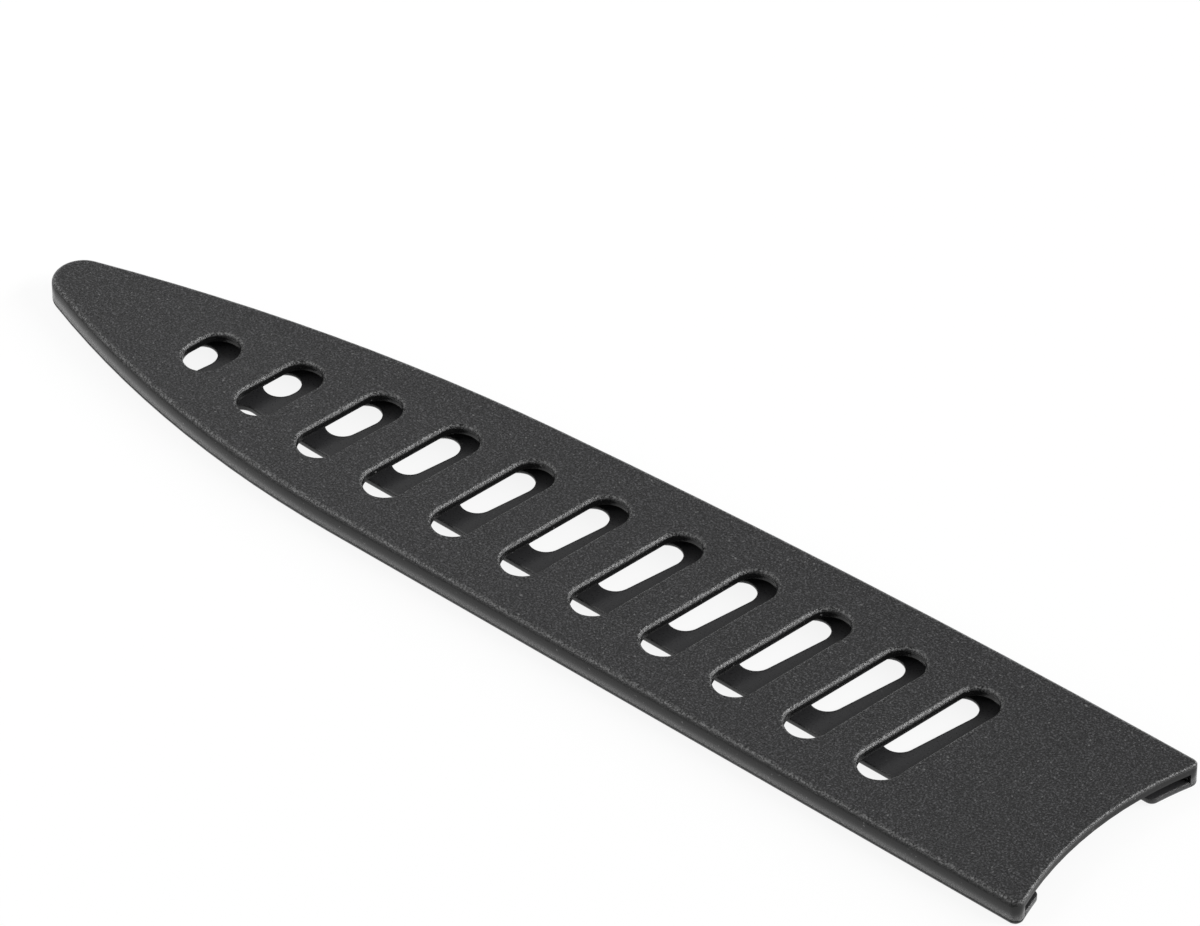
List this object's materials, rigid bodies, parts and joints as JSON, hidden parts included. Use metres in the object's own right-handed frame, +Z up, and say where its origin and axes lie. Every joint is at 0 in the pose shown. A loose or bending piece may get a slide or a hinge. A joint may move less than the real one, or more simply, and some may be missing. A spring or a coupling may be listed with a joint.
{
  "type": "knife blade guard",
  "caption": "Slim slotted plastic sleeve that slides over a kitchen-knife blade: a slotted front plate with a rounded rim and a side wall, closed by a thinner slotted rear plate, open at a curved mouth.",
  "frame": {"origin": "middle of the footprint, on the surface that the rear face lies on", "axes": "+X along the blade towards the mouth, +Y from the straight spine side to the curved cutting-edge side, +Z up out of the front face"},
  "size_m": [0.1379, 0.0282, 0.0029],
  "materials": {
    "front_plastic": "charcoal black plastic with a fine spark-eroded grain on its outside",
    "rear_plastic": "charcoal black plastic with a smoother satin face towards the blade"
  },
  "bodies": {
    "root": {"front_plate": "front_plastic", "side_wall": "front_plastic", "rear_plate": "rear_plastic"}
  },
  "joints": []
}
